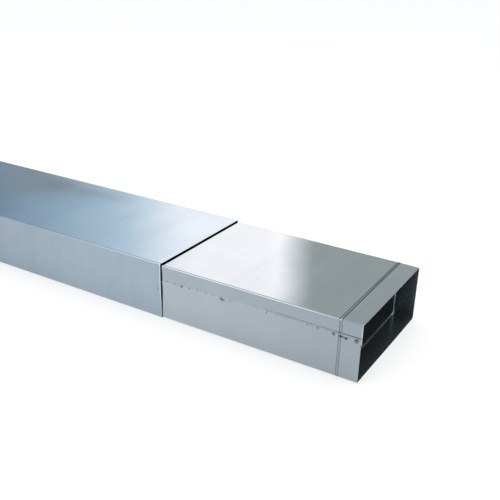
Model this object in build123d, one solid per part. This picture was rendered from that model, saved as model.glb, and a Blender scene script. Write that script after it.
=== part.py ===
from build123d import *

import os
from math import sqrt

# Flat channel duct in galvanised sheet: a short length plugged into the socket end of a long one.
# X runs along the duct, Y across it, Z up. The origin is on the floor, under the middle of the whole run.

# Sheet and folds
sheet = 0.6
fold_radius = 2.0

# Long duct, by its clear bore
bore_width = 220.0
bore_height = 92.0
long_length = 1000.0

# Short duct, by its room in the long one's bore
side_clearance = 1.0
top_clearance = 2.0
short_length = 400.0
plug_depth = 68.0

# Lap seam of a rolled-up sheet: the outer edge stands proud and is welded through
lap_width = 10.0
lap_ramp = 3.0
seam_below_top = 20.0

# Pressed bead near the open mouth, and how far its two ends miss each other at the seam
bead_from_mouth = 32.0
bead_width = 3.6
bead_height = 0.6
bead_mismatch = 1.2

# Worked out from the sizes above
long_width = bore_width + 2 * sheet
long_height = bore_height + 2 * sheet
short_width = bore_width - 2 * side_clearance
short_height = bore_height - top_clearance
run_length = long_length + short_length - plug_depth
long_end = -run_length / 2
joint_x = long_end + long_length
mouth_x = run_length / 2
short_end = mouth_x - short_length
bead_x = mouth_x - bead_from_mouth
short_floor = max(sheet, bead_height)
sink = sheet / 2


def folded_ring(width, height):
    """Section of a folded tube of one sheet, with its lower face on the section's X axis."""
    outer = RectangleRounded(width, height, fold_radius)
    inner = RectangleRounded(width - 2 * sheet, height - 2 * sheet, fold_radius - sheet)
    return Pos(0, height / 2) * (outer - inner)


def lap_band(width, height, side):
    """The doubled strip of a lap seam on one wall (side is -1 or +1), square on top and ramped below."""
    top = height - seam_below_top
    outline = [
        (width / 2 - sink, top),
        (width / 2 + sheet, top),
        (width / 2 + sheet, top - lap_width),
        (width / 2, top - lap_width - lap_ramp),
        (width / 2 - sink, top - lap_width - lap_ramp),
    ]
    return make_face(Polyline([(side * y, z) for y, z in outline], close=True))


def seamed_tube(width, height, length, side):
    """A whole folded and lapped tube, its end on the YZ plane and running towards +X."""
    section = folded_ring(width, height) + lap_band(width, height, side)
    return extrude(Plane.YZ * section, length)


def crest_profile():
    """Outside of the bead: along the duct is local X, away from the wall is local Y."""
    half = bead_width / 2
    arc = ThreePointArc((-half, 0), (0, bead_height), (half, 0))
    foot = Polyline((half, 0), (half, -sink), (-half, -sink), (-half, 0))
    return make_face(arc + foot)


def groove_profile():
    """Hollow behind the bead, one sheet under its crest and open to the bore."""
    crest_radius = (bead_width**2 / 4 + bead_height**2) / (2 * bead_height)
    centre_depth = crest_radius - bead_height
    half = sqrt((crest_radius - sheet) ** 2 - (centre_depth - sheet) ** 2)
    arc = ThreePointArc((-half, -sheet), (0, bead_height - sheet), (half, -sheet))
    floor = -sheet - sink
    foot = Polyline((half, -sheet), (half, floor), (-half, floor), (-half, -sheet))
    return make_face(arc + foot)


def bead_plane(x, y, z, outward):
    """Plane for a bead profile on the wall at this point; its normal is the way the bead then runs."""
    return Plane(origin=(x, y, z), x_dir=(1, 0, 0), z_dir=Vector(1, 0, 0).cross(outward))


def bead_straight(profile, start, outward, run):
    return extrude(bead_plane(*start, outward) * profile, run)


def bead_corner(profile, start, outward):
    """Quarter turn of the bead round the fold that follows this point."""
    centre = Vector(*start) - outward * fold_radius
    return revolve(bead_plane(*start, outward) * profile, Axis(centre, (1, 0, 0)), 90)


def bead_between(profile, start, end, outward):
    return loft([bead_plane(*start, outward) * profile, bead_plane(*end, outward) * profile], ruled=True)


def bead_ring(profile, front_upper, front_lower):
    """Bead all round the short duct, from one side of the front seam to the other."""
    half_w = short_width / 2
    half_run_w = half_w - fold_radius
    low = fold_radius
    high = short_height - fold_radius
    back, up, front, down = Vector(0, 1, 0), Vector(0, 0, 1), Vector(0, -1, 0), Vector(0, 0, -1)
    return [
        bead_straight(profile, (bead_x, half_w, low), back, high - low),
        bead_corner(profile, (bead_x, half_w, high), back),
        bead_straight(profile, (bead_x, half_run_w, short_height), up, 2 * half_run_w),
        bead_corner(profile, (bead_x, -half_run_w, short_height), up),
        *front_upper(profile, high),
        *front_lower(profile, low),
        bead_corner(profile, (bead_x, -half_w, low), front),
        bead_straight(profile, (bead_x, -half_run_w, 0), down, 2 * half_run_w),
        bead_corner(profile, (bead_x, half_run_w, 0), down),
    ]


def crest_upper(profile, high):
    """The bead of the inner sheet slants as it nears the seam, so that it misses the outer sheet's."""
    front = Vector(0, -1, 0)
    seam = short_height - seam_below_top
    wall = -short_width / 2
    return [bead_between(profile, (bead_x, wall, high), (bead_x + bead_mismatch, wall, seam), front)]


def crest_lower(profile, low):
    """The bead of the outer sheet: over the lap, down its ramp, then on the plain wall."""
    front = Vector(0, -1, 0)
    seam = short_height - seam_below_top
    lap_foot = seam - lap_width
    wall = -short_width / 2
    return [
        bead_straight(profile, (bead_x, wall - sheet, seam), front, lap_width),
        bead_between(profile, (bead_x, wall - sheet, lap_foot), (bead_x, wall, lap_foot - lap_ramp), front),
        bead_straight(profile, (bead_x, wall, lap_foot - lap_ramp), front, lap_foot - lap_ramp - low),
    ]


def groove_upper(profile, high):
    """Behind the seam the inner sheet's groove runs on to that sheet's hidden edge."""
    front = Vector(0, -1, 0)
    seam = short_height - seam_below_top
    wall = -short_width / 2
    return crest_upper(profile, high) + [
        bead_straight(profile, (bead_x + bead_mismatch, wall, seam), front, lap_width)
    ]


def groove_lower(profile, low):
    front = Vector(0, -1, 0)
    lap_foot = short_height - seam_below_top - lap_width
    return [bead_straight(profile, (bead_x, -short_width / 2, lap_foot), front, lap_foot - low)]


def long_duct():
    """Plain long length; its seam is on the back wall."""
    return Pos(long_end, 0, 0) * seamed_tube(long_width, long_height, long_length, 1)


def short_duct():
    """Beaded short length, lying in the long one's bore and on its own bead; its seam is on the front wall."""
    tube = Pos(short_end, 0, 0) * seamed_tube(short_width, short_height, short_length, -1)
    tube = tube + bead_ring(crest_profile(), crest_upper, crest_lower)
    tube = tube - bead_ring(groove_profile(), groove_upper, groove_lower)
    return Pos(0, 0, short_floor) * tube


def main():
    os.makedirs("parts", exist_ok=True)
    for name, make in {"long_duct": long_duct, "short_duct": short_duct}.items():
        solid = make()
        export_step(solid, os.path.join("parts", name + ".step"))
        size = solid.bounding_box().size
        print(f"{name}: {len(solid.solids())} solid, {size.X:.1f} x {size.Y:.1f} x {size.Z:.1f} mm")


main()
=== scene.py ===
"""Looks of a flat galvanised duct run: two lapped and welded lengths, one plugged into the other."""

import math
from collections import namedtuple
from types import SimpleNamespace

import bmesh
import bpy
from mathutils import Euler, Matrix, Vector

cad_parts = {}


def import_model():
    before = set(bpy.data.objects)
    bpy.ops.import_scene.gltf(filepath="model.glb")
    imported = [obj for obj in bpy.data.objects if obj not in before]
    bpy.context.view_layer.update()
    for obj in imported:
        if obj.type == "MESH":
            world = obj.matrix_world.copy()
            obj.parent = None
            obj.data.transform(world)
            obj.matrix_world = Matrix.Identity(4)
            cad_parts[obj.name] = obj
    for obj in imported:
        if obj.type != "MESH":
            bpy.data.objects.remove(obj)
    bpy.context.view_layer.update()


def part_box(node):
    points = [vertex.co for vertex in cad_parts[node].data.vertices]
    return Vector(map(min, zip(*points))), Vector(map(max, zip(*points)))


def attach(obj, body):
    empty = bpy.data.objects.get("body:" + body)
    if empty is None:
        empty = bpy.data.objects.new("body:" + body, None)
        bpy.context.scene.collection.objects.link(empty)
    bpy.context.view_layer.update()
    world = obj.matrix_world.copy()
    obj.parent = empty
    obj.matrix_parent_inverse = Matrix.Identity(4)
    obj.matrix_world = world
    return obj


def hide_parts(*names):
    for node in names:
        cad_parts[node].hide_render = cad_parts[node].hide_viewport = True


MM = 0.001

# The sheet both lengths are rolled from, as in the CAD model
SHEET = 0.6 * MM
FOLD_RADIUS = 2.0 * MM
FOLD_STEPS = 8
LAP_WIDTH = 10.0 * MM
LAP_RAMP = 3.0 * MM
LAP_GAP = 0.02 * MM
SEAM_BELOW_TOP = 20.0 * MM

# The pressed bead of the short length, with its rows of points as shares of its half width
BEAD_FROM_MOUTH = 32.0 * MM
BEAD_WIDTH = 3.6 * MM
BEAD_HEIGHT = 0.6 * MM
BEAD_MISMATCH = 1.2 * MM
BEAD_ROWS = (-1, -0.85, -0.65, -0.4, -0.14, 0.14, 0.4, 0.65, 0.85, 1)

# A row of spot welds through a lap: its pace widens and it climbs a little as the welder goes along
WELD_PACE = 13.4 * MM
SHORT_WELD_WIDENING = 0.098 * MM
LONG_WELD_WIDENING = 0.01 * MM
WELD_CLIMB = 0.16 * MM

# The long length's row, from its rear end on, with some spare room a weld for the widening
LONG_WELD_START = 12 * MM
LONG_WELD_SPARE = 2 * MM

# The short length's row starts so far back from the mouth
SHORT_WELD_START = 322 * MM
SHORT_WELD_COUNT = 18
FIRST_WELD_UP = 65 * MM

# Three full welds near the mouth, in mm back from it and up the wall
MOUTH_WELDS = ((40.7, 65.9), (24.0, 64.6), (7.3, 65.4))

# One spot weld, a disc with rings: each is an inset in mm and a step inwards in heights of the rim
WELD_RADIUS = 1.9 * MM
WELD_DEPTH = 0.7 * MM
WELD_RIM = 0.09 * MM
WELD_SIDES = 20
WELD_RINGS = ((0.5, -1.0), (0.35, 0.0), (0.5, 0.8), (0.5, 0.1))

# Every fifth weld, from the third one on, is pressed hard; those between are smaller and flatter
STRONG_WELD, WELD_BEAT, BEAT_POWER = 2, 5, 4
STRONG_SIZE, WEAK_SIZE = 0.9, 0.45

# The short length's outer strip was cut askew: its edge slants down away from the mouth, and its end is short
EDGE_LOW = 0.4 * MM
EDGE_LEVEL = 135 * MM
EDGE_SLOPE = 0.036
MOUTH_STEP = 1.15 * MM

# The tone of the strip above that edge fades over so much on either side of it
EDGE_BLUR = 0.3 * MM

# The far corners of the mouth are bent rounder, the low one more than the high one
SOFT_LOW, SOFT_HIGH = 3.0 * MM, 1.0 * MM
SOFT_LENGTH = 28 * MM

# How finely the walls are divided: edges over so many steps along Y or Z get so many cuts
PANEL_STEP = 12.0 * MM
ALONG_Y, ALONG_Z = 1, 2
WALL_CUTS = ((ALONG_Y, 10, 15), (ALONG_Z, 4, 5), (ALONG_Z, 2, 3))

# Shallow hollows of the walls: their depth and size, and how far they keep off the folds and the lap
DENT_DEPTH = 0.45 * MM
SHORT_DENT_SHARE = 0.7
DENT_SIZE = 110.0 * MM
DENT_OFF_FOLD = 18 * MM
DENT_OFF_LAP = 1 * MM

# The dent at the joint: its reach along the duct, up from the bottom, and below the foot of the lap
JOINT_DENT = 0.25 * MM
JOINT_DENT_ALONG = (8 * MM, 60 * MM)
JOINT_DENT_UP = 30 * MM
JOINT_DENT_BELOW_LAP = (14 * MM, 0.5 * MM)

# Slack when points are picked by their place, and how near two points are merged
SLACK = 0.1 * MM
FINE_SLACK = 0.01 * MM
SLANT_SLACK = 0.001
MERGE_DISTANCE = 0.001 * MM

# Degrees between faces up to which they are shaded smooth
SHEET_SMOOTH, WELD_SMOOTH = 40, 60

# Camera at the photograph's viewpoint
CAMERA_AT = (0.9601, -0.9033, 0.5633)
CAMERA_AZIMUTH = 30.613
CAMERA_ELEVATION = 23.866
CAMERA_ROLL = 1.611
CAMERA_LENS = 52.47


# Selecting and shaping in edit mode

def deselect_all():
    bpy.ops.object.select_all(action="DESELECT")


def make_active(piece):
    deselect_all()
    piece.select_set(True)
    bpy.context.view_layer.objects.active = piece


def pick(test, mode="VERT"):
    """In edit mode, selects the vertices, edges or faces that pass the test.

    The test is given a vertex's place, an edge's two ends or a face's middle."""
    bpy.ops.mesh.select_mode(type=mode)
    bpy.ops.mesh.select_all(action="DESELECT")
    mesh = bmesh.from_edit_mesh(bpy.context.object.data)
    parts = {"VERT": mesh.verts, "EDGE": mesh.edges, "FACE": mesh.faces}[mode]
    for part in parts:
        if mode == "VERT":
            part.select_set(test(part.co))
        elif mode == "EDGE":
            part.select_set(test(part.verts[0].co, part.verts[1].co))
        else:
            part.select_set(test(part.calc_center_median()))
    mesh.select_flush_mode()
    bmesh.update_edit_mesh(bpy.context.object.data)


def push_edge(dy, dz):
    """Runs the sheet on from the selected edge."""
    bpy.ops.mesh.extrude_region_move(TRANSFORM_OT_translate={"value": (0, dy, dz)})


def fold_edge(centre_y, centre_z, degrees):
    """Folds the sheet on from the selected edge, round an axis along the duct; spin counts backwards."""
    bpy.ops.mesh.spin(
        steps=FOLD_STEPS, angle=math.radians(-degrees), center=(0, centre_y, centre_z), axis=(1, 0, 0)
    )


def cut_across(x):
    bpy.ops.mesh.select_all(action="SELECT")
    bpy.ops.mesh.bisect(plane_co=(x, 0, 0), plane_no=(1, 0, 0))


def divide_edges(test, cuts):
    pick(test, "EDGE")
    bpy.ops.mesh.subdivide(number_cuts=cuts)


def smooth_step(value, low, high):
    share = max(0.0, min(1.0, (value - low) / (high - low)))
    return share * share * (3 - 2 * share)


# The rolled lengths

def roll_sheet(name, start_x, end_x, half_width, bottom, top, side):
    """One sheet rolled into a flat duct, from the outer edge of its lap seam round to the hidden inner edge.

    side is -1 where the seam is on the front wall and +1 where it is on the back one."""
    seam = top - SEAM_BELOW_TOP
    half_sheet = SHEET / 2
    wall = half_width - half_sheet
    lap = half_width + half_sheet + LAP_GAP
    turn = 90 * -side
    fold = FOLD_RADIUS - half_sheet
    low = bottom + half_sheet
    high = top - half_sheet
    deselect_all()
    bpy.ops.mesh.primitive_plane_add(
        size=1, location=((start_x + end_x) / 2, side * lap, seam - LAP_WIDTH / 2),
        rotation=(math.pi / 2, 0, 0),
    )
    bpy.ops.transform.resize(value=(end_x - start_x, 1, LAP_WIDTH))
    bpy.ops.object.transform_apply(location=True, rotation=True, scale=True)
    piece = bpy.context.object
    piece.name = piece.data.name = name
    bpy.ops.object.mode_set(mode="EDIT")
    pick(lambda a, b: max(a.z, b.z) < seam - LAP_WIDTH / 2, "EDGE")
    push_edge(side * (wall - lap), -LAP_RAMP)
    push_edge(0, low + fold - (seam - LAP_WIDTH - LAP_RAMP))
    fold_edge(side * (wall - fold), low + fold, turn)
    push_edge(-side * 2 * (wall - fold), 0)
    fold_edge(-side * (wall - fold), low + fold, turn)
    push_edge(0, high - low - 2 * fold)
    fold_edge(-side * (wall - fold), high - fold, turn)
    push_edge(side * 2 * (wall - fold), 0)
    fold_edge(side * (wall - fold), high - fold, turn)
    push_edge(0, seam - LAP_WIDTH - (high - fold))
    bpy.ops.mesh.select_all(action="SELECT")
    bpy.ops.mesh.remove_doubles(threshold=MERGE_DISTANCE)
    bpy.ops.mesh.normals_make_consistent(inside=False)
    mesh = bmesh.from_edit_mesh(piece.data)
    highest = max(mesh.faces, key=lambda f: f.calc_center_median().z)
    if highest.normal.z < 0:
        bpy.ops.mesh.flip_normals()
    bpy.ops.object.mode_set(mode="OBJECT")
    return piece


def divide_panels(length):
    """Divides the flat walls, lengthways and crossways, so that they can dent."""
    divide_edges(lambda a, b: abs(a.x - b.x) > length / 2, round(length / PANEL_STEP))
    for axis, steps, cuts in WALL_CUTS:
        divide_edges(lambda a, b: abs(a[axis] - b[axis]) > steps * PANEL_STEP, cuts)


def bead_rise(u):
    """Height of the bead at a distance u from its middle."""
    return BEAD_HEIGHT * (1 - (2 * u / BEAD_WIDTH) ** 2)


def mark_bead(bead_x, half_width, top):
    """Notes on each point how far it is from the bead, and how far the bead has slanted there.

    Only the inner sheet's bead slants, from the fold to the seam, where it misses the outer sheet's."""
    wall = half_width - SHEET / 2
    fold_end = top - FOLD_RADIUS
    seam = top - SEAM_BELOW_TOP
    mesh = bmesh.from_edit_mesh(bpy.context.object.data)
    for name in ("from_bead", "slant"):
        mesh.verts.layers.float.new(name)
    from_bead, slant = (mesh.verts.layers.float[name] for name in ("from_bead", "slant"))
    for v in mesh.verts:
        on_inner = abs(v.co.y + wall) < SLACK and v.co.z > seam - LAP_WIDTH - SLACK
        share = min(1.0, max(0.0, (fold_end - v.co.z) / (fold_end - seam)))
        v[from_bead] = v.co.x - bead_x
        v[slant] = share if on_inner and abs(v[from_bead]) < BEAD_WIDTH / 2 + SLACK / 2 else 0.0
    bmesh.update_edit_mesh(bpy.context.object.data)


def pick_slant(share):
    bpy.ops.mesh.select_all(action="DESELECT")
    mesh = bmesh.from_edit_mesh(bpy.context.object.data)
    slant = mesh.verts.layers.float["slant"]
    for v in mesh.verts:
        v.select_set(abs(v[slant] - share) < SLANT_SLACK)
    bmesh.update_edit_mesh(bpy.context.object.data)


def press_bead(bead_x, half_width, top):
    """Presses the bead outwards all round, and slants it on the inner sheet."""
    places = [k * BEAD_WIDTH / 2 for k in BEAD_ROWS]
    for u in places:
        cut_across(bead_x + u)
    mark_bead(bead_x, half_width, top)
    for u in places[1:-1]:
        pick(lambda co, x=bead_x + u: abs(co.x - x) < FINE_SLACK)
        bpy.ops.transform.shrink_fatten(value=bead_rise(u))
    mesh = bmesh.from_edit_mesh(bpy.context.object.data)
    slant = mesh.verts.layers.float["slant"]
    shares = sorted({round(v[slant], 4) for v in mesh.verts if v[slant] > 0})
    bpy.ops.mesh.select_mode(type="VERT")
    for share in shares:
        pick_slant(share)
        bpy.ops.transform.translate(value=(BEAD_MISMATCH * share, 0, 0))


def add_modifier(piece, kind, **values):
    modifier = piece.modifiers.new(kind.lower(), kind)
    for key, value in values.items():
        setattr(modifier, key, value)


def apply_modifiers(piece):
    make_active(piece)
    for modifier in list(piece.modifiers):
        bpy.ops.object.modifier_apply(modifier=modifier.name)


def dent_walls(piece, half_width, bottom, top, depth):
    """Shallow hollows between the folds. They only go inwards, and fade out at the folds and the seam."""
    group = piece.vertex_groups.new(name="panel")
    lap_foot = top - SEAM_BELOW_TOP - LAP_WIDTH - LAP_RAMP
    for v in piece.data.vertices:
        y, z = abs(v.co.y), v.co.z
        on_side = y > half_width - FOLD_RADIUS
        from_fold = min(z - bottom, top - z) if on_side else half_width - y
        free = smooth_step(from_fold, FOLD_RADIUS, FOLD_RADIUS + DENT_OFF_FOLD)
        if on_side and z > lap_foot - DENT_OFF_LAP:
            free = 0.0
        group.add([v.index], free, "REPLACE")
    texture = bpy.data.textures.new(piece.name + "_dents", "CLOUDS")
    texture.noise_scale = DENT_SIZE
    texture.noise_depth = 1
    add_modifier(
        piece, "DISPLACE", texture=texture, texture_coords="LOCAL", direction="NORMAL",
        strength=depth, mid_level=1.0, vertex_group="panel",
    )


def push_where(piece, name, direction, distance, share):
    """Pushes each point along an axis by its share of the distance."""
    group = piece.vertex_groups.new(name=name)
    for v in piece.data.vertices:
        group.add([v.index], share(v.co), "REPLACE")
    add_modifier(piece, "DISPLACE", direction=direction, strength=distance, mid_level=0.0, vertex_group=name)


def dent_at_joint(piece, joint, half_width, bottom, top):
    """The short length's front wall is pushed in below the seam where the long one grips it."""
    lap_foot = top - SEAM_BELOW_TOP - LAP_WIDTH - LAP_RAMP
    fade_from, fade_to = (lap_foot - below for below in JOINT_DENT_BELOW_LAP)

    def share(co):
        if co.y > -half_width + FOLD_RADIUS:
            return 0.0
        along = 1 - smooth_step(abs(co.x - joint), *JOINT_DENT_ALONG)
        up = smooth_step(co.z, bottom + FOLD_RADIUS, bottom + JOINT_DENT_UP)
        return along * up * (1 - smooth_step(co.z, fade_from, fade_to))

    push_where(piece, "gripped", "Y", JOINT_DENT, share)


def trim_mouth(piece, mouth, half_width, bottom, top):
    """The outer strip's end stops short of the inner one's, less and less along the bottom wall."""
    seam = top - SEAM_BELOW_TOP

    def share(co):
        on_inner = co.z > bottom + FOLD_RADIUS and co.y > -half_width
        hidden = on_inner and co.z > seam - LAP_WIDTH - SLACK
        if co.x < mouth - SLACK or co.z > seam + SLACK or hidden:
            return 0.0
        return 1 - smooth_step(co.y, -half_width, half_width / 2)

    push_where(piece, "short_end", "X", -MOUTH_STEP, share)


def soften_corner(piece, name, mouth, half_width, level, up, extra):
    """Bends a far corner of the mouth rounder.

    level is the height of its flat wall, and up is +1 for the bottom wall and -1 for the top one."""
    fold = FOLD_RADIUS - SHEET / 2
    start_y = half_width - FOLD_RADIUS
    start_z = level + up * FOLD_RADIUS

    def along(co):
        on_fold = co.y > start_y - FINE_SLACK and up * (start_z - co.z) > -FINE_SLACK
        return smooth_step(co.x, mouth - SOFT_LENGTH, mouth) if on_fold else 0.0

    def inwards(co):
        return along(co) * (1 - (co.y - start_y) / fold)

    def upright(co):
        return along(co) * (1 - up * (start_z - co.z) / fold)

    push_where(piece, name + "_inwards", "Y", -extra, inwards)
    push_where(piece, name + "_upright", "Z", up * extra, upright)


def edge_drop(x, mouth):
    """How far the lap's outer edge lies below its height in the CAD model."""
    return EDGE_LOW + EDGE_SLOPE * max(0.0, mouth - EDGE_LEVEL - x)


def slant_edge(piece, mouth, joint, half_width, seam):
    """Lowers the lap's outer edge, and past the joint no further than at the joint."""
    deepest = edge_drop(joint, mouth)

    def share(co):
        on_edge = co.y < -half_width and co.z > seam - SLACK
        return min(1.0, edge_drop(co.x, mouth) / deepest) if on_edge else 0.0

    push_where(piece, "slanting_edge", "Z", -deepest, share)


def thicken(piece, materials):
    """Gives the rolled sheet its thickness and its three finishes: outside, inside and on the cut edges."""
    for material in materials:
        piece.data.materials.append(material)
    add_modifier(
        piece, "SOLIDIFY", thickness=SHEET, offset=0, use_even_offset=True,
        material_offset=1, material_offset_rim=2,
    )
    add_modifier(piece, "WEIGHTED_NORMAL", keep_sharp=True)


def smooth(piece, degrees):
    make_active(piece)
    bpy.ops.object.shade_smooth_by_angle(angle=math.radians(degrees))


def weld_places(first_x, count, widening):
    """Places of a lap's spot welds, along it and up the wall, and how large each is beside a full one."""
    places = []
    for k in range(count):
        beat = 0.5 + 0.5 * math.cos(2 * math.pi * (k - STRONG_WELD) / WELD_BEAT)
        x = first_x + WELD_PACE * k + widening * k * k
        size = WEAK_SIZE + (STRONG_SIZE - WEAK_SIZE) * beat**BEAT_POWER
        places.append((x, FIRST_WELD_UP + WELD_CLIMB * k, size))
    return places


def weld_spot(name):
    """One spot weld, pressed through from outside: a ring of squeezed metal round a shallow hollow.

    It stands on the plane y = 0 and faces towards -Y, with its middle at the origin."""
    deselect_all()
    bpy.ops.mesh.primitive_cylinder_add(
        vertices=WELD_SIDES, radius=WELD_RADIUS, depth=WELD_DEPTH, location=(0, WELD_DEPTH / 2, 0),
        rotation=(math.pi / 2, 0, 0),
    )
    bpy.ops.object.transform_apply(location=True, rotation=True, scale=True)
    spot = bpy.context.object
    spot.name = spot.data.name = name
    bpy.ops.object.mode_set(mode="EDIT")
    pick(lambda co: co.y < SLACK, "FACE")
    for inset, sink in WELD_RINGS:
        bpy.ops.mesh.inset(thickness=inset * MM)
        bpy.ops.transform.translate(value=(0, sink * WELD_RIM, 0))
    bpy.ops.object.mode_set(mode="OBJECT")
    smooth(spot, WELD_SMOOTH)
    return spot


def add_welds(piece, places, wall_y, side):
    """Copies the spot weld to each place and joins the copies to the sheet; a smaller one is flatter too."""
    master = weld_spot(piece.name + "_weld")
    master.data.materials.append(piece.data.materials[0])
    copies = []
    for x, z, size in places:
        spot = master.copy()
        spot.data = master.data.copy()
        bpy.context.scene.collection.objects.link(spot)
        spot.location = (x, side * wall_y, z)
        spot.rotation_euler = (0, 0, 0 if side < 0 else math.pi)
        spot.scale = (size, size * size, size)
        copies.append(spot)
    bpy.data.objects.remove(master)
    deselect_all()
    for spot in copies:
        spot.select_set(True)
    bpy.context.view_layer.objects.active = copies[0]
    bpy.ops.object.transform_apply(location=True, rotation=True, scale=True)
    piece.select_set(True)
    bpy.context.view_layer.objects.active = piece
    bpy.ops.object.join()


def long_length(low, high, welds, materials):
    half_width = high.y - SHEET - LAP_GAP - WELD_RIM
    piece = roll_sheet("long_sheet", low.x, high.x, half_width, low.z, high.z, 1)
    bpy.ops.object.mode_set(mode="EDIT")
    divide_panels(high.x - low.x)
    bpy.ops.object.mode_set(mode="OBJECT")
    smooth(piece, SHEET_SMOOTH)
    dent_walls(piece, half_width, low.z, high.z, DENT_DEPTH)
    thicken(piece, materials)
    apply_modifiers(piece)
    add_welds(piece, welds, half_width + SHEET + LAP_GAP, 1)
    return piece


def short_length(low, high, joint, welds, materials):
    half_width = high.y - BEAD_HEIGHT
    bottom = low.z + BEAD_HEIGHT
    top = high.z - BEAD_HEIGHT
    piece = roll_sheet("short_sheet", low.x, high.x, half_width, bottom, top, -1)
    bpy.ops.object.mode_set(mode="EDIT")
    divide_panels(high.x - low.x)
    press_bead(high.x - BEAD_FROM_MOUTH, half_width, top)
    bpy.ops.object.mode_set(mode="OBJECT")
    smooth(piece, SHEET_SMOOTH)
    dent_walls(piece, half_width, bottom, top, DENT_DEPTH * SHORT_DENT_SHARE)
    dent_at_joint(piece, joint, half_width, bottom, top)
    trim_mouth(piece, high.x, half_width, bottom, top)
    slant_edge(piece, high.x, joint, half_width, top - SEAM_BELOW_TOP)
    soften_corner(piece, "low_corner", high.x, half_width, bottom, 1, SOFT_LOW)
    soften_corner(piece, "high_corner", high.x, half_width, top, -1, SOFT_HIGH)
    thicken(piece, materials)
    apply_modifiers(piece)
    add_welds(piece, welds, half_width + SHEET + LAP_GAP, -1)
    return piece


# Node helpers

def add_node(tree, kind, inputs=None, **settings):
    """Adds a node; inputs maps a socket's name or number to a value or to the output socket that feeds it."""
    node = tree.nodes.new(kind)
    for key, value in settings.items():
        setattr(node, key, value)
    for key, value in (inputs or {}).items():
        if isinstance(value, bpy.types.NodeSocket):
            tree.links.new(value, node.inputs[key])
        else:
            node.inputs[key].default_value = value
    return node


def maths(tree, operation, a, b=0.0, clamp=False):
    return add_node(tree, "ShaderNodeMath", {0: a, 1: b}, operation=operation, use_clamp=clamp).outputs[0]


def multiply_add(tree, a, b, c):
    return add_node(tree, "ShaderNodeMath", {0: a, 1: b, 2: c}, operation="MULTIPLY_ADD").outputs[0]


def ramp_up(tree, value, low, high):
    """0 up to low, 1 from high on, and a smooth rise between."""
    inputs = {"Value": value, "From Min": low, "From Max": high}
    node = add_node(tree, "ShaderNodeMapRange", inputs, interpolation_type="SMOOTHSTEP")
    return node.outputs["Result"]


def invert(tree, value):
    return maths(tree, "SUBTRACT", 1.0, value)


def noise(tree, vector, scale, detail, roughness=0.5):
    inputs = {"Vector": vector, "Scale": scale, "Detail": detail, "Roughness": roughness}
    return add_node(tree, "ShaderNodeTexNoise", inputs).outputs["Fac"]


def raggedness(tree, vector, scale, reach):
    """Noise between about minus and plus half the reach, to add to a distance."""
    return maths(tree, "MULTIPLY", maths(tree, "SUBTRACT", noise(tree, vector, scale, detail=3), 0.5), reach)


def stretched(tree, vector, scale):
    return add_node(tree, "ShaderNodeMapping", {"Vector": vector, "Scale": scale}).outputs["Vector"]


def distance(tree, u, v):
    square = maths(tree, "ADD", maths(tree, "MULTIPLY", u, u), maths(tree, "MULTIPLY", v, v))
    return maths(tree, "SQRT", square)


def blend_colours(tree, factor, a, b, way="MIX"):
    node = add_node(tree, "ShaderNodeMix", {0: factor, 6: a, 7: b}, data_type="RGBA", blend_type=way)
    return node.outputs[2]


def new_group(name, inputs, outputs):
    tree = bpy.data.node_groups.new(name, "ShaderNodeTree")
    for key, (kind, value) in inputs.items():
        socket = tree.interface.new_socket(key, in_out="INPUT", socket_type=kind)
        if value is not None:
            socket.default_value = value
    for key in outputs:
        tree.interface.new_socket(key, in_out="OUTPUT", socket_type="NodeSocketFloat")
    return tree, tree.nodes.new("NodeGroupInput").outputs, tree.nodes.new("NodeGroupOutput").inputs


def use_group(tree, name, **inputs):
    node = tree.nodes.new("ShaderNodeGroup")
    node.node_tree = bpy.data.node_groups[name]
    for key, value in inputs.items():
        socket = node.inputs[key.replace("_", " ")]
        if isinstance(value, bpy.types.NodeSocket):
            tree.links.new(value, socket)
        else:
            socket.default_value = value
    return node.outputs


VECTOR = ("NodeSocketVector", None)


def number(value):
    return ("NodeSocketFloat", value)


# Effects that several finishes share

CLOUD_SHARE, STREAK_SHARE, CRYSTAL_SHARE, GRAIN_SHARE = 0.36, 0.34, 0.07, 0.26
GRAIN_RELIEF, CRYSTAL_RELIEF = 0.25, 0.06
STREAK_STRETCH = (1, 0.06, 0.06)
SMUDGE_STRETCH = (1, 1.6, 1.3)


def make_zinc_skin():
    """Hot-dip zinc as rolled: clouds, faint crystals, streaks round the duct and a fine grain."""
    tree, put_in, out = new_group("zinc_skin", {"Vector": VECTOR}, ("Tone", "Shine", "Relief"))
    place = put_in["Vector"]
    clouds = noise(tree, place, scale=16, detail=3)
    streaks = noise(tree, stretched(tree, place, STREAK_STRETCH), scale=42, detail=3, roughness=0.6)
    crystals = add_node(tree, "ShaderNodeTexVoronoi", {"Vector": place, "Scale": 150}).outputs["Color"]
    crystals = add_node(tree, "ShaderNodeSeparateColor", {0: crystals}).outputs[0]
    grain = noise(tree, place, scale=1400, detail=2)
    tone = 0.5 - 0.5 * (CLOUD_SHARE + STREAK_SHARE + CRYSTAL_SHARE + GRAIN_SHARE)
    layers = ((clouds, CLOUD_SHARE), (streaks, STREAK_SHARE), (crystals, CRYSTAL_SHARE), (grain, GRAIN_SHARE))
    for layer, share in layers:
        tone = multiply_add(tree, layer, share, tone)
    smudges = noise(tree, stretched(tree, place, SMUDGE_STRETCH), scale=9, detail=4, roughness=0.65)
    relief = maths(tree, "MULTIPLY", crystals, CRYSTAL_RELIEF)
    relief = maths(tree, "ADD", maths(tree, "MULTIPLY", grain, GRAIN_RELIEF), relief)
    for name, value in (("Tone", tone), ("Shine", smudges), ("Relief", relief)):
        tree.links.new(value, out[name])


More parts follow.
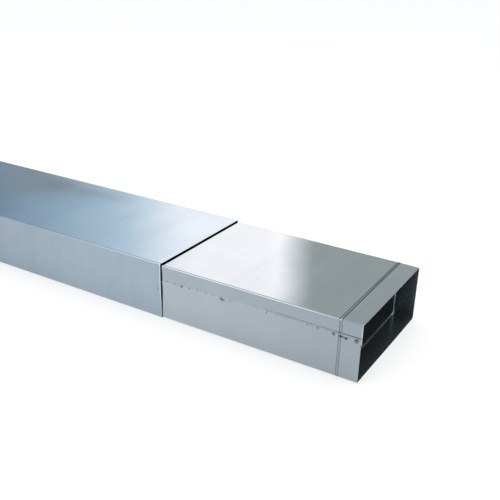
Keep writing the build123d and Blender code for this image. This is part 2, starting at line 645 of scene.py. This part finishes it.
def make_line_mask():
    """1 within the half width of a line, fading to 0 over the softness."""
    inputs = {"Distance": number(0.0), "Half Width": number(0.5 * MM), "Softness": number(0.3 * MM)}
    tree, put_in, out = new_group("line_mask", inputs, ("Mask",))
    away = maths(tree, "ABSOLUTE", put_in["Distance"])
    past = maths(tree, "SUBTRACT", away, put_in["Half Width"])
    share = maths(tree, "DIVIDE", past, put_in["Softness"], clamp=True)
    tree.links.new(invert(tree, share), out["Mask"])


# The rim of a scorch, in shares of its size: how ragged it is, and where it starts and ends
SCORCH_RAGGED, SCORCH_RIM = 2.6, (0.6, 1.1)


def make_scorch():
    """One weld mark on a side wall, with a ragged rim: 1 in its middle and 0 outside."""
    inputs = {"Vector": VECTOR, "Along": number(0.0), "Height": number(0.0),
              "Length": number(2 * MM), "Width": number(2 * MM)}
    tree, put_in, out = new_group("scorch", inputs, ("Mask",))
    place = add_node(tree, "ShaderNodeSeparateXYZ", {0: put_in["Vector"]}).outputs
    u = maths(tree, "DIVIDE", maths(tree, "SUBTRACT", place["X"], put_in["Along"]), put_in["Length"])
    v = maths(tree, "DIVIDE", maths(tree, "SUBTRACT", place["Z"], put_in["Height"]), put_in["Width"])
    ragged = raggedness(tree, put_in["Vector"], scale=1000, reach=SCORCH_RAGGED)
    reach = maths(tree, "ADD", distance(tree, u, v), ragged)
    tree.links.new(invert(tree, ramp_up(tree, reach, *SCORCH_RIM)), out["Mask"])


# Weld soot with painted shade: a ragged ring round a weld, laid only on its lower side towards +X, where its
# hollow is in shade
SOOT_SHADE_RING = 1.7 * MM
SOOT_SHADE_FADE = (0.3 * MM, 0.95 * MM)
SOOT_SHADE_RAGGED = 1.6 * MM
SHADED_SIDE_TILT = 0.6
SHADED_SIDE = (-0.9 * MM, 0.8 * MM)

# Strength of the soot and painted shade at a weak weld, what a strong one adds, and what the row gains
# towards its end
SOOT_SHADE_WEAK, SOOT_SHADE_STRONG, SOOT_SHADE_GAIN = 0.1, 0.9, 0.35

# A painted highlight lies behind and a little below each weld, and its strength changes from weld to weld
GLINT_BACK, GLINT_DOWN = 1.2 * MM, 0.2 * MM
GLINT_FADE = (0.5 * MM, 1.3 * MM)
GLINT_TURN = 1.7


def nearest_weld(tree, along, put_in):
    """Number of the weld that is nearest along the row, whose pace widens."""
    inside = multiply_add(tree, maths(tree, "MULTIPLY", put_in["Widening"], 4.0), along, WELD_PACE**2)
    turn = maths(tree, "SUBTRACT", maths(tree, "SQRT", inside), WELD_PACE)
    which = maths(tree, "DIVIDE", turn, maths(tree, "MULTIPLY", put_in["Widening"], 2.0))
    last = maths(tree, "SUBTRACT", put_in["Count"], 1.0)
    return maths(tree, "MINIMUM", maths(tree, "ROUND", which), last)


def soot_and_shade_strength(tree, which, count):
    """Strength of the soot and painted shade at a weld, by the same beat as its size."""
    beat = maths(tree, "SUBTRACT", which, float(STRONG_WELD))
    beat = maths(tree, "COSINE", maths(tree, "MULTIPLY", beat, 2 * math.pi / WELD_BEAT))
    beat = maths(tree, "POWER", multiply_add(tree, beat, 0.5, 0.5), float(BEAT_POWER))
    strength = multiply_add(tree, beat, SOOT_SHADE_STRONG, SOOT_SHADE_WEAK)
    return multiply_add(tree, maths(tree, "DIVIDE", which, count), SOOT_SHADE_GAIN, strength)


def make_weld_row():
    """Marks of a whole row of spot welds: soot with painted shade on one side of each and a painted highlight
    on the other.
    """
    inputs = {"Vector": VECTOR, "First": number(0.0), "Height": number(0.0),
              "Widening": number(SHORT_WELD_WIDENING), "Count": number(1.0)}
    tree, put_in, out = new_group("weld_row", inputs, ("Soot", "Bright"))
    place = add_node(tree, "ShaderNodeSeparateXYZ", {0: put_in["Vector"]}).outputs
    along = maths(tree, "MAXIMUM", maths(tree, "SUBTRACT", place["X"], put_in["First"]), 0.0)
    which = nearest_weld(tree, along, put_in)
    spread = maths(tree, "MULTIPLY", maths(tree, "MULTIPLY", which, which), put_in["Widening"])
    middle = maths(tree, "ADD", multiply_add(tree, which, WELD_PACE, put_in["First"]), spread)
    u = maths(tree, "SUBTRACT", place["X"], middle)
    v = maths(tree, "SUBTRACT", place["Z"], multiply_add(tree, which, WELD_CLIMB, put_in["Height"]))
    ragged = raggedness(tree, put_in["Vector"], scale=700, reach=SOOT_SHADE_RAGGED)
    away = maths(tree, "ADD", distance(tree, u, v), ragged)
    ring = maths(tree, "ABSOLUTE", maths(tree, "SUBTRACT", away, SOOT_SHADE_RING))
    ring = invert(tree, ramp_up(tree, ring, *SOOT_SHADE_FADE))
    shaded_half = maths(tree, "SUBTRACT", u, maths(tree, "MULTIPLY", v, SHADED_SIDE_TILT))
    soot_and_shade = maths(tree, "MULTIPLY", ring, ramp_up(tree, shaded_half, *SHADED_SIDE))
    soot_and_shade = maths(tree, "MULTIPLY", soot_and_shade, soot_and_shade_strength(tree, which, put_in["Count"]))
    tree.links.new(soot_and_shade, out["Soot"])
    glint_u = maths(tree, "ADD", u, GLINT_BACK)
    glint_v = maths(tree, "ADD", v, GLINT_DOWN)
    glint = invert(tree, ramp_up(tree, distance(tree, glint_u, glint_v), *GLINT_FADE))
    uneven = maths(tree, "SINE", maths(tree, "MULTIPLY", which, GLINT_TURN))
    tree.links.new(maths(tree, "MULTIPLY", glint, multiply_add(tree, uneven, 0.5, 0.5)), out["Bright"])


# Masks of marks. Each returns a function that adds the mask's nodes to a material

def across(tree, place, axis):
    return add_node(tree, "ShaderNodeSeparateXYZ", {0: place}).outputs[axis]


def near_plane(axis, where, half_width, softness):
    """Mask of a line where the surface crosses a plane; its half width and softness are in mm."""
    def mask(tree, place):
        away = maths(tree, "SUBTRACT", across(tree, place, axis), where)
        return use_group(
            tree, "line_mask", Distance=away, Half_Width=half_width * MM, Softness=softness * MM
        )["Mask"]
    return mask


def both(*makers):
    """Mask where all the given ones meet."""
    def mask(tree, place):
        result = makers[0](tree, place)
        for maker in makers[1:]:
            result = maths(tree, "MULTIPLY", result, maker(tree, place))
        return result
    return mask


def rising(axis, start, full):
    """Mask that rises from 0 at start to 1 at full, which may be the lesser of the two."""
    def mask(tree, place):
        if start < full:
            return ramp_up(tree, across(tree, place, axis), start, full)
        return invert(tree, ramp_up(tree, across(tree, place, axis), full, start))
    return mask


def back_from(end, start, full):
    """Mask that rises along the duct; start and full are in mm back from an end."""
    return rising("X", end - start * MM, end - full * MM)


def above(level, start, full):
    """Mask that rises with the height; start and full are in mm above a level."""
    return rising("Z", level + start * MM, level + full * MM)


def on_wall(y, side):
    """Mask of the side wall at y, fading out 1 to 2 mm off it; side is -1 in front and +1 at the back."""
    return rising("Y", y - side * 2 * MM, y - side * 1 * MM)


def above_edge(seam, mouth):
    """Mask of the upper strip of the front wall, above the slanting edge of the lap."""
    def mask(tree, place):
        past_level = maths(tree, "SUBTRACT", mouth - EDGE_LEVEL, across(tree, place, "X"))
        past_level = maths(tree, "MAXIMUM", past_level, 0.0)
        height = multiply_add(tree, past_level, EDGE_SLOPE, across(tree, place, "Z"))
        edge = seam - EDGE_LOW
        return ramp_up(tree, height, edge - EDGE_BLUR, edge + EDGE_BLUR)
    return mask


def patchy(scale, low, high):
    """Mask in patches, where a noise rises from low to high."""
    def mask(tree, place):
        return ramp_up(tree, noise(tree, place, scale, detail=3), low, high)
    return mask


def bead_line(share, half_width, softness):
    """Line along the bead, at a share of its half width: +1 is its foot on the mouth's side. Sizes in mm."""
    def mask(tree, place):
        away = add_node(tree, "ShaderNodeAttribute", attribute_name="from_bead").outputs["Fac"]
        away = maths(tree, "SUBTRACT", away, share * BEAD_WIDTH / 2)
        return use_group(
            tree, "line_mask", Distance=away, Half_Width=half_width * MM, Softness=softness * MM
        )["Mask"]
    return mask


def scorch_mark(along, up, length, width):
    """A scorch at a place along the duct and so many mm up, with its half length and half width in mm."""
    def mask(tree, place):
        return use_group(
            tree, "scorch", Vector=place, Along=along, Height=up * MM, Length=length * MM, Width=width * MM
        )["Mask"]
    return mask


def weld_row(output, welds, widening):
    """Soot with painted shade, or painted highlights, of a row of welds."""
    first, height, _ = welds[0]

    def mask(tree, place):
        return use_group(
            tree, "weld_row", Vector=place, First=first, Height=height, Count=float(len(welds)),
            Widening=widening,
        )[output]
    return mask


# Materials

LONG_ZINC = (0.345, 0.42, 0.49)
SHORT_ZINC = (0.385, 0.44, 0.485)
INNER_ZINC = (0.36, 0.42, 0.44)
CUT_ZINC = (0.60, 0.63, 0.66)
# Darker zinc for painted shade on the short length's front, darker towards the mouth
MOUTH_SHADE_ZINC = (0.31, 0.354, 0.392)
# Pale zinc for the painted highlight along the short length's upper fold
FOLD_HIGHLIGHT_ZINC = (0.86, 0.83, 0.85)
UPPER_ZINC = (0.29, 0.335, 0.375)
# Pale zinc for painted highlights and painted lightening, and for the bright rim at the long length's rear
# end
BRIGHT_ZINC = (0.80, 0.84, 0.88)
# Near-black: real grime and weld scorches, and painted shade in creases, gaps and under edges
SHADE_AND_GRIME = (0.012, 0.014, 0.017)
SCORCH = (0.10, 0.075, 0.06)
SOOT = (0.050, 0.043, 0.040)
TONE_SWING = 0.18
SHINE_SWING = 0.05
OUTSIDE_ROUGHNESS = 0.078
INSIDE_ROUGHNESS = 0.25
EDGE_ROUGHNESS = 0.35
# Dust on the inside dulls it, so that it is a little less than all metal
INSIDE_METAL = 0.935
BUMP_STRENGTH = 0.06
BUMP_DISTANCE = 0.2 * MM

Mark = namedtuple("Mark", "mask tint strength")


def zinc_material(name, colour, roughness, marks=(), metal=1.0):
    """Bare zinc with marks, painted shade and painted highlights on it, one over the other."""
    material = bpy.data.materials.new(name)
    material.use_nodes = True
    tree = material.node_tree
    shader = tree.nodes["Principled BSDF"]
    shader.inputs["Metallic"].default_value = metal
    place = add_node(tree, "ShaderNodeTexCoord").outputs["Object"]
    skin = use_group(tree, "zinc_skin", Vector=place)
    swing = {"Value": skin["Tone"], "To Min": 1 - TONE_SWING, "To Max": 1 + TONE_SWING}
    level = add_node(tree, "ShaderNodeMapRange", swing).outputs["Result"]
    level = add_node(tree, "ShaderNodeCombineColor", {0: level, 1: level, 2: level}).outputs[0]
    paint = blend_colours(tree, 1.0, (*colour, 1), level, "MULTIPLY")
    rough = multiply_add(tree, skin["Shine"], SHINE_SWING, roughness - SHINE_SWING / 2)
    for mark in marks:
        mask = maths(tree, "MULTIPLY", mark.mask(tree, place), mark.strength)
        paint = blend_colours(tree, mask, paint, (*mark.tint, 1))
    tree.links.new(paint, shader.inputs["Base Color"])
    tree.links.new(rough, shader.inputs["Roughness"])
    bump = {"Height": skin["Relief"], "Strength": BUMP_STRENGTH, "Distance": BUMP_DISTANCE}
    tree.links.new(add_node(tree, "ShaderNodeBump", bump).outputs["Normal"], shader.inputs["Normal"])
    return material


# Finish of the long length

def long_marks(low, high, welds):
    """Weld soot with painted shade and painted highlights on the back, painted shade towards the far end, and
    at the joint on the front a painted highlight on the lip, a painted shadow at the end and a bruise.
    """
    on_front, on_back = on_wall(low.y, -1), on_wall(high.y, 1)
    # Painted highlight along the lip of the long length's end
    lip_highlight = near_plane("X", high.x - 1.9 * MM, half_width=0.6, softness=0.4)
    # Painted shadow of the gap at the joint, on the long length's end
    shaded_end = near_plane("X", high.x, half_width=1.1, softness=0.3)
    bruise = scorch_mark(high.x - 6.5 * MM, up=49, length=2.0, width=3.6)
    bright_rear = near_plane("X", low.x, half_width=1.0, softness=0.5)
    return [
        # Weld soot with painted shade on one side of each weld, and a painted highlight on the other
        Mark(both(weld_row("Soot", welds, LONG_WELD_WIDENING), on_back), SCORCH, strength=0.5),
        Mark(both(weld_row("Bright", welds, LONG_WELD_WIDENING), on_back), BRIGHT_ZINC, strength=0.5),
        # Painted shade: the front darkens towards the far end
        Mark(both(back_from(high.x, 160, 310), on_front), SHADE_AND_GRIME, strength=0.08),
        Mark(both(lip_highlight, on_front, above(low.z, 8, 50)), BRIGHT_ZINC, strength=0.75),
        Mark(both(shaded_end, on_front, above(low.z, 10, 40)), SHADE_AND_GRIME, strength=0.90),
        Mark(bright_rear, BRIGHT_ZINC, strength=0.5),
        Mark(both(bruise, on_front), SHADE_AND_GRIME, strength=0.25),
    ]


def finish_long(low, high, welds):
    """Materials of the long length: outside, inside and cut edge."""
    # Painted shade on the cut edges at the joint end
    shaded_edge = both(back_from(high.x, 5, 1), above(low.z, 15, 45))
    return [
        zinc_material("galvanised_long", LONG_ZINC, OUTSIDE_ROUGHNESS, long_marks(low, high, welds)),
        zinc_material("inside_long", INNER_ZINC, INSIDE_ROUGHNESS, metal=INSIDE_METAL),
        zinc_material("cut_edge_long", CUT_ZINC, EDGE_ROUGHNESS, [Mark(shaded_edge, SHADE_AND_GRIME, strength=0.7)]),
    ]


# Finish of the short length

# In mm back from the mouth and up the wall, with half length and half width, colour and strength
SCORCHES = (
    (292.8, 64.6, 1.5, 1.5, SHADE_AND_GRIME, 0.7),
    (220.1, 64.8, 6.0, 3.2, SCORCH, 0.35),
    (220.1, 64.6, 3.0, 1.4, SHADE_AND_GRIME, 0.8),
    (207.9, 65.9, 3.2, 2.0, SCORCH, 0.25),
    (40.7, 65.9, 2.6, 2.8, SOOT, 0.90),
    (29.5, 65.2, 4.4, 1.9, SOOT, 0.95),
    (23.0, 64.4, 3.2, 2.2, SOOT, 0.95),
    (7.3, 65.4, 3.4, 3.6, SOOT, 0.85),
    (39.9, 66.2, 0.8, 0.9, SHORT_ZINC, 0.7),
    (7.0, 65.0, 0.9, 1.0, SHORT_ZINC, 0.7),
)


def wall_light_and_tones(at):
    """Painted light on the front wall: lighter far from the mouth, painted shade towards the mouth, a painted
    highlight along its upper fold, and a darker strip above the lap's edge.
    """
    fold_line = near_plane("Z", at.top - 1.0 * MM, half_width=0.4, softness=0.5)
    fold_highlight = both(fold_line, at.on_front, back_from(at.mouth, 31, 35))
    return [
        # Painted light: the front wall is lightened far from the mouth
        Mark(both(back_from(at.mouth, 180, 330), at.on_front), BRIGHT_ZINC, strength=0.055),
        # Painted shade: the front wall darkens towards the mouth
        Mark(both(back_from(at.mouth, 245, -15), at.on_front), MOUTH_SHADE_ZINC, strength=0.80),
        # Painted highlight along the upper fold, stronger towards the mouth short of the bead
        Mark(fold_highlight, FOLD_HIGHLIGHT_ZINC, strength=0.12),
        Mark(both(fold_highlight, back_from(at.mouth, 220, 50)), FOLD_HIGHLIGHT_ZINC, strength=0.27),
        Mark(both(above_edge(at.seam, at.mouth), at.on_front), UPPER_ZINC, strength=0.35),
    ]


def seam_marks(at, welds):
    """Painted shadow along the lap's edge near the mouth and below it, and the welds' soot with painted shade
    and their painted highlights.
    """
    edge = at.seam - EDGE_LOW
    near_mouth = back_from(at.mouth, 165, 130)
    patches = patchy(scale=110, low=0.38, high=0.55)
    shade = near_plane("Z", edge - 1.6 * MM, half_width=1.2, softness=1.2)
    line = near_plane("Z", edge, half_width=0.30, softness=0.35)
    line_at_bead = near_plane("Z", edge, half_width=0.40, softness=0.40)
    soot_and_shade = weld_row("Soot", welds, SHORT_WELD_WIDENING)
    glints = weld_row("Bright", welds, SHORT_WELD_WIDENING)
    return [
        # Painted shadow below the lap's edge
        Mark(both(shade, at.on_front, near_mouth), SHADE_AND_GRIME, strength=0.10),
        # Painted shadow along the lap's edge, in patches, darker in the last 30 to 50 mm before the mouth
        Mark(both(line, at.on_front, patches, near_mouth), SHADE_AND_GRIME, strength=0.35),
        Mark(both(line_at_bead, at.on_front, back_from(at.mouth, 50, 30)), SHADE_AND_GRIME, strength=0.55),
        # Weld soot with painted shade, and painted highlights beside the welds
        Mark(both(soot_and_shade, at.on_front), SHADE_AND_GRIME, strength=0.42),
        Mark(both(glints, at.on_front, back_from(at.mouth, 30, 140)), BRIGHT_ZINC, strength=0.55),
    ]


def bead_marks(at):
    """Painted shade in the creases at the bead's feet and on the band between, and a painted highlight where
    it turns the fold.
    """
    turn = rising("Y", at.front + 2.6 * MM, at.front + 1.6 * MM)
    # Painted highlight where the bead turns over the fold
    spot = both(bead_line(-0.2, half_width=1.2, softness=0.5), above(at.top, -2.4, -1.6), turn)
    return [
        # Painted shade on the bead and in the creases at its feet, on the top and on the front
        Mark(both(bead_line(0.0, half_width=1.7, softness=0.4), at.on_top), SHADE_AND_GRIME, strength=0.20),
        Mark(both(bead_line(0.60, half_width=0.60, softness=0.3), at.on_top), SHADE_AND_GRIME, strength=0.95),
        Mark(both(bead_line(-1.25, half_width=0.60, softness=0.3), at.on_top), SHADE_AND_GRIME, strength=0.90),
        Mark(both(bead_line(0.0, half_width=1.6, softness=0.5), at.on_front), SHADE_AND_GRIME, strength=0.16),
        Mark(both(bead_line(0.85, half_width=0.30, softness=0.3), at.on_front), SHADE_AND_GRIME, strength=0.58),
        Mark(both(bead_line(-1.05, half_width=0.30, softness=0.3), at.on_front), SHADE_AND_GRIME, strength=0.58),
        Mark(spot, BRIGHT_ZINC, strength=0.35),
    ]


def end_marks(at):
    """A painted highlight along the mouth's edge, and the painted shadow of the gap at the joint on the top
    and the front.
    """
    mouth_highlight = near_plane("X", at.mouth, half_width=0.6, softness=0.5)
    gap_shadow_on_top = near_plane("X", at.joint, half_width=1.5, softness=0.6)
    gap_shadow_on_front = near_plane("X", at.joint, half_width=1.5, softness=0.5)
    gap_height = above(at.bottom, 28, 48), above(at.top, -4, -16)
    return [
        # Painted highlight on the mouth's edge, then the painted shadow of the joint's gap
        Mark(both(mouth_highlight, at.on_front), BRIGHT_ZINC, strength=0.6),
        Mark(both(gap_shadow_on_top, at.on_top), SHADE_AND_GRIME, strength=0.93),
        Mark(both(gap_shadow_on_front, at.on_front, *gap_height), SHADE_AND_GRIME, strength=0.96),
    ]


def scorch_marks(at):
    """The darkest weld marks, each with its own place and size."""
    marks = []
    for back, up, length, width, tint, strength in SCORCHES:
        spot = scorch_mark(at.mouth - back * MM, up, length, width)
        marks.append(Mark(both(spot, at.on_front), tint, strength))
    return marks


def inside_marks(at):
    """Painted shade low down between the bead and the mouth, and a painted highlight along the groove behind
    the bead.
    """
    # Painted shade low inside, and a painted highlight in the bead's groove
    low_shade = both(above(at.bottom, 30, 4), back_from(at.mouth, 50, 33))
    groove_highlight = bead_line(0.0, half_width=1.3, softness=0.4)
    return [Mark(low_shade, SHADE_AND_GRIME, strength=0.28), Mark(groove_highlight, BRIGHT_ZINC, strength=1.0)]


def finish_short(low, high, joint, welds):
    """Materials of the short length: outside, inside and cut edge."""
    top = high.z - BEAD_HEIGHT
    front = low.y + SHEET + BEAD_HEIGHT
    at = SimpleNamespace(
        mouth=high.x, joint=joint, front=front, bottom=low.z + BEAD_HEIGHT, top=top,
        seam=top - SEAM_BELOW_TOP, on_front=on_wall(front, -1), on_top=above(top, -2.0, -0.5),
    )
    marks = wall_light_and_tones(at) + seam_marks(at, welds) + bead_marks(at) + end_marks(at) + scorch_marks(at)
    # Painted light: the cut edges further back than 130 to 165 mm from the mouth are lightened, so that the
    # lap's ledge shows no shade there
    lightened_edge = Mark(back_from(at.mouth, 130, 165), BRIGHT_ZINC, strength=1.0)
    return [
        zinc_material("galvanised_short", SHORT_ZINC, OUTSIDE_ROUGHNESS, marks),
        zinc_material("inside_short", INNER_ZINC, INSIDE_ROUGHNESS, inside_marks(at), INSIDE_METAL),
        zinc_material("cut_edge_short", CUT_ZINC, EDGE_ROUGHNESS, [lightened_edge]),
    ]


# Stage

FLOOR_SIZE = 24
FLOOR_WHITE = 0.52
FLOOR_GLOW = 0.56


def floor_material():
    """White matt floor: part of its white shows only where it is looked at, so that its shadows stay soft."""
    material = bpy.data.materials.new("white_floor")
    material.use_nodes = True
    tree = material.node_tree
    shader = tree.nodes["Principled BSDF"]
    shader.inputs["Base Color"].default_value = (FLOOR_WHITE, FLOOR_WHITE, FLOOR_WHITE, 1)
    shader.inputs["Roughness"].default_value = 1.0
    shader.inputs["Specular IOR Level"].default_value = 0.0
    shader.inputs["Emission Color"].default_value = (1, 1, 1, 1)
    rays = add_node(tree, "ShaderNodeLightPath").outputs
    looked_at = maths(tree, "ADD", rays["Is Camera Ray"], rays["Is Glossy Ray"], clamp=True)
    looked_at = maths(tree, "ADD", looked_at, rays["Is Transmission Ray"], clamp=True)
    tree.links.new(maths(tree, "MULTIPLY", looked_at, FLOOR_GLOW), shader.inputs["Emission Strength"])
    return material


def white_floor():
    deselect_all()
    bpy.ops.mesh.primitive_plane_add(size=FLOOR_SIZE, location=(0, 0, 0))
    floor = bpy.context.object
    floor.name = "floor"
    floor.data.materials.append(floor_material())


def softbox(name, at, towards, size, brightness):
    """A soft lamp; brightness is what a mirror would see of it, where 1 is white."""
    lamp = bpy.data.lights.new(name, "AREA")
    lamp.shape = "RECTANGLE"
    lamp.size, lamp.size_y = size
    lamp.energy = brightness * math.pi * size[0] * size[1]
    holder = bpy.data.objects.new(name, lamp)
    bpy.context.scene.collection.objects.link(holder)
    holder.location = at
    holder.rotation_euler = (Vector(towards) - Vector(at)).to_track_quat("-Z", "Y").to_euler()


# Brightness of the studio's walls by the compass: degrees from +Y round towards -X
WALLS = [
    (-180, (0.75, 0.77, 0.80)),
    (-120, (0.60, 0.61, 0.62)),
    (-60, (0.40, 0.41, 0.42)),
    (-25, (0.22, 0.23, 0.24)),
    (0, (0.50, 0.52, 0.49)),
    (14, (0.64, 0.67, 0.63)),
    (25.6, (0.64, 0.67, 0.63)),
    (26.4, (0.56, 0.59, 0.56)),
    (27.1, (2.25, 2.06, 1.98)),
    (29.5, (2.04, 1.85, 1.78)),
    (36, (2.04, 1.87, 1.80)),
    (41.5, (0.96, 1.13, 1.24)),
    (47, (0.63, 0.79, 0.91)),
    (52, (0.33, 0.45, 0.56)),
    (80, (0.40, 0.46, 0.50)),
    (115, (0.60, 0.62, 0.64)),
    (131, (0.95, 0.96, 0.97)),
    (137, (1.70, 1.70, 1.70)),
    (143, (2.60, 2.60, 2.60)),
    (155, (2.60, 2.60, 2.60)),
    (158.5, (1.00, 1.01, 1.02)),
    (175, (0.80, 0.82, 0.85)),
]

# The ceiling takes over from the walls between these heights of the view, where 1 is straight up
CEILING = (0.85, 0.86, 0.87, 1)
CEILING_FROM, CEILING_TO = 0.52, 0.72

# A low dark screen before the white part of the wall, by the same compass and heights
SCREEN = (0.42, 0.44, 0.45, 1)
SCREEN_HEIGHT = (0.31, 0.345)
SCREEN_START, SCREEN_END = (12, 20), (45, 55)


def wall_colours(tree, compass):
    """The walls' colour ramp, round the whole compass."""
    turn = add_node(
        tree, "ShaderNodeMapRange", {"Value": compass, "From Min": -math.pi, "From Max": math.pi}
    ).outputs["Result"]
    walls = add_node(tree, "ShaderNodeValToRGB", {"Fac": turn})
    stops = walls.color_ramp.elements
    stops[0].position, stops[0].color = 0.0, (*WALLS[0][1], 1)
    stops[1].position, stops[1].color = 1.0, (*WALLS[0][1], 1)
    for degrees, colour in WALLS[1:]:
        stops.new((degrees + 180) / 360).color = (*colour, 1)
    return walls.outputs["Color"]


def studio():
    """Soft light from pale walls and ceiling and one large lamp, with a white background for the camera."""
    world = bpy.data.worlds.new("studio")
    bpy.context.scene.world = world
    world.use_nodes = True
    tree = world.node_tree
    way = add_node(tree, "ShaderNodeTexCoord").outputs["Generated"]
    x, y, z = add_node(tree, "ShaderNodeSeparateXYZ", {0: way}).outputs
    compass = maths(tree, "ARCTAN2", maths(tree, "MULTIPLY", x, -1.0), y)
    screen = ramp_up(tree, compass, *(math.radians(edge) for edge in SCREEN_START))
    past = ramp_up(tree, compass, *(math.radians(edge) for edge in SCREEN_END))
    below = invert(tree, ramp_up(tree, z, *SCREEN_HEIGHT))
    screen = maths(tree, "MULTIPLY", maths(tree, "SUBTRACT", screen, past), below)
    colour = blend_colours(tree, screen, wall_colours(tree, compass), SCREEN)
    colour = blend_colours(tree, ramp_up(tree, z, CEILING_FROM, CEILING_TO), colour, CEILING)
    looked_at = add_node(tree, "ShaderNodeLightPath").outputs["Is Camera Ray"]
    colour = blend_colours(tree, looked_at, colour, (1, 1, 1, 1))
    tree.links.new(colour, tree.nodes["Background"].inputs["Color"])
    softbox("overhead", at=(1.1, 0.5, 2.4), towards=(0.4, 0, 0), size=(2.6, 2.1), brightness=1.16)


def photo_camera():
    data = bpy.data.cameras.new("camera")
    camera = bpy.data.objects.new("camera", data)
    bpy.context.scene.collection.objects.link(camera)
    turn = Euler((math.radians(90 - CAMERA_ELEVATION), 0, math.radians(CAMERA_AZIMUTH))).to_matrix()
    camera.location = CAMERA_AT
    camera.rotation_euler = (turn @ Matrix.Rotation(math.radians(CAMERA_ROLL), 3, "Z")).to_euler()
    data.lens = CAMERA_LENS
    data.clip_start = 0.01
    bpy.context.scene.camera = camera


# Putting it together

def dress(piece, node):
    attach(piece, "root")
    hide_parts(node)


def dress_long():
    low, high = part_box("long_duct")
    count = int((high.x - low.x) / (WELD_PACE + LONG_WELD_SPARE))
    welds = weld_places(low.x + LONG_WELD_START, count, LONG_WELD_WIDENING)
    sheet = long_length(low, high, welds, finish_long(low, high, welds))
    dress(sheet, "long_duct")


def dress_short():
    low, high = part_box("short_duct")
    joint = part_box("long_duct")[1].x
    welds = weld_places(high.x - SHORT_WELD_START, SHORT_WELD_COUNT, SHORT_WELD_WIDENING)
    mouth_welds = [(high.x - back * MM, up * MM, 1.0) for back, up in MOUTH_WELDS]
    finish = finish_short(low, high, joint, welds)
    sheet = short_length(low, high, joint, welds + mouth_welds, finish)
    dress(sheet, "short_duct")


def main():
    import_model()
    make_zinc_skin()
    make_line_mask()
    make_scorch()
    make_weld_row()
    dress_long()
    dress_short()
    white_floor()
    studio()
    photo_camera()
    bpy.context.scene.view_settings.view_transform = "Standard"


main()
